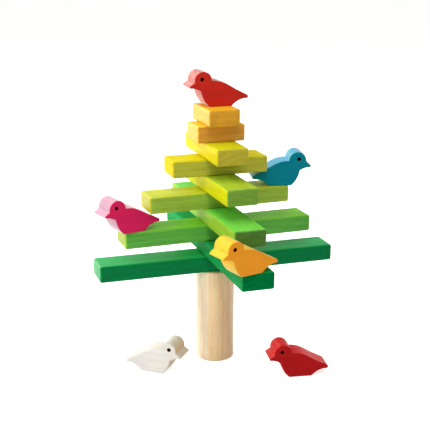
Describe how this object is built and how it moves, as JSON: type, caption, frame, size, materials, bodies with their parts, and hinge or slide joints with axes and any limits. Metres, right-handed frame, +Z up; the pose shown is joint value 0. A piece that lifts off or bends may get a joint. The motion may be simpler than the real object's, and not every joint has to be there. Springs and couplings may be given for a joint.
{
  "type": "balancing tree game",
  "caption": "Wooden stacking game: loose bars in stained greens to amber lie crosswise on a turned trunk as a tapering tree, and sawn birds perch on the branch ends.",
  "frame": {"origin": "centre of the trunk's foot, on the table", "axes": "+Z up the trunk, +X along the lower bar of each pair, -Y is the front that the picture shows"},
  "size_m": [0.2019, 0.2077, 0.242],
  "materials": {
    "natural_wood": "natural hardwood, clear satin lacquer",
    "forest_green_stain": "stained hardwood, clear satin lacquer",
    "green_stain": "stained hardwood, clear satin lacquer",
    "lime_stain": "stained hardwood, clear satin lacquer",
    "yellow_stain": "stained hardwood, clear satin lacquer",
    "amber_stain": "stained hardwood, clear satin lacquer",
    "red_stain": "stained hardwood, clear satin lacquer",
    "blue_stain": "stained hardwood, clear satin lacquer",
    "pink_stain": "stained hardwood, clear satin lacquer",
    "golden_stain": "stained hardwood, clear satin lacquer",
    "white_stain": "stained hardwood, clear satin lacquer",
    "crimson_stain": "stained hardwood, clear satin lacquer"
  },
  "bodies": {
    "trunk": {"trunk": "natural_wood"},
    "branch_01_forest_green": {"branch_01_forest_green": "forest_green_stain"},
    "branch_02_forest_green": {"branch_02_forest_green": "forest_green_stain"},
    "branch_03_green": {"branch_03_green": "green_stain"},
    "branch_04_green": {"branch_04_green": "green_stain"},
    "branch_05_lime": {"branch_05_lime": "lime_stain"},
    "branch_06_lime": {"branch_06_lime": "lime_stain"},
    "branch_07_yellow": {"branch_07_yellow": "yellow_stain"},
    "branch_08_yellow": {"branch_08_yellow": "yellow_stain"},
    "branch_09_amber": {"branch_09_amber": "amber_stain"},
    "branch_10_amber": {"branch_10_amber": "amber_stain"},
    "red_bird_top": {"red_bird_top": "red_stain"},
    "blue_bird": {"blue_bird": "blue_stain"},
    "pink_bird": {"pink_bird": "pink_stain"},
    "yellow_bird": {"yellow_bird": "golden_stain"},
    "white_bird": {"white_bird": "white_stain"},
    "red_bird_floor": {"red_bird_floor": "crimson_stain"}
  },
  "joints": [
    {"name": "branch_01_turn", "type": "hinge", "parent": "trunk", "child": "branch_01_forest_green", "pos_m": [0, 0, 0.079], "axis": [0, 0, 1], "continuous": true},
    {"name": "branch_02_turn", "type": "hinge", "parent": "branch_01_forest_green", "child": "branch_02_forest_green", "pos_m": [0, 0, 0.0925], "axis": [0, 0, 1], "continuous": true},
    {"name": "branch_03_turn", "type": "hinge", "parent": "branch_02_forest_green", "child": "branch_03_green", "pos_m": [0, 0, 0.106], "axis": [0, 0, 1], "range_deg": [-65, 55]},
    {"name": "branch_04_turn", "type": "hinge", "parent": "branch_03_green", "child": "branch_04_green", "pos_m": [0, 0, 0.1195], "axis": [0, 0, 1], "range_deg": [-58, 60]},
    {"name": "branch_05_turn", "type": "hinge", "parent": "branch_04_green", "child": "branch_05_lime", "pos_m": [0, 0, 0.133], "axis": [0, 0, 1], "continuous": true},
    {"name": "branch_06_turn", "type": "hinge", "parent": "branch_05_lime", "child": "branch_06_lime", "pos_m": [0, 0, 0.1465], "axis": [0, 0, 1], "range_deg": [-42, 50]},
    {"name": "branch_07_turn", "type": "hinge", "parent": "branch_06_lime", "child": "branch_07_yellow", "pos_m": [0, 0, 0.16], "axis": [0, 0, 1], "continuous": true},
    {"name": "branch_08_turn", "type": "hinge", "parent": "branch_07_yellow", "child": "branch_08_yellow", "pos_m": [0, 0, 0.1735], "axis": [0, 0, 1], "continuous": true},
    {"name": "branch_09_turn", "type": "hinge", "parent": "branch_08_yellow", "child": "branch_09_amber", "pos_m": [0, 0, 0.187], "axis": [0, 0, 1], "continuous": true},
    {"name": "branch_10_turn", "type": "hinge", "parent": "branch_09_amber", "child": "branch_10_amber", "pos_m": [0, 0, 0.2005], "axis": [0, 0, 1], "continuous": true},
    {"name": "red_bird_top_lift", "type": "slide", "parent": "branch_10_amber", "child": "red_bird_top", "axis": [0, 0, 1], "range_m": [0, 0.04]},
    {"name": "blue_bird_pull", "type": "slide", "parent": "branch_05_lime", "child": "blue_bird", "axis": [0.9996, 0.0279, 0], "range_m": [0, 0.025]},
    {"name": "pink_bird_pull", "type": "slide", "parent": "branch_03_green", "child": "pink_bird", "axis": [-0.9999, -0.014, 0], "range_m": [0, 0.025]},
    {"name": "yellow_bird_pull", "type": "slide", "parent": "branch_02_forest_green", "child": "yellow_bird", "axis": [-0.0209, -0.9998, 0], "range_m": [0, 0.025]},
    {"name": "white_bird_lift", "type": "slide", "parent": "trunk", "child": "white_bird", "axis": [0, 0, 1], "range_m": [0, 0.04]},
    {"name": "red_bird_floor_lift", "type": "slide", "parent": "trunk", "child": "red_bird_floor", "axis": [0, 0, 1], "range_m": [0, 0.04]}
  ]
}
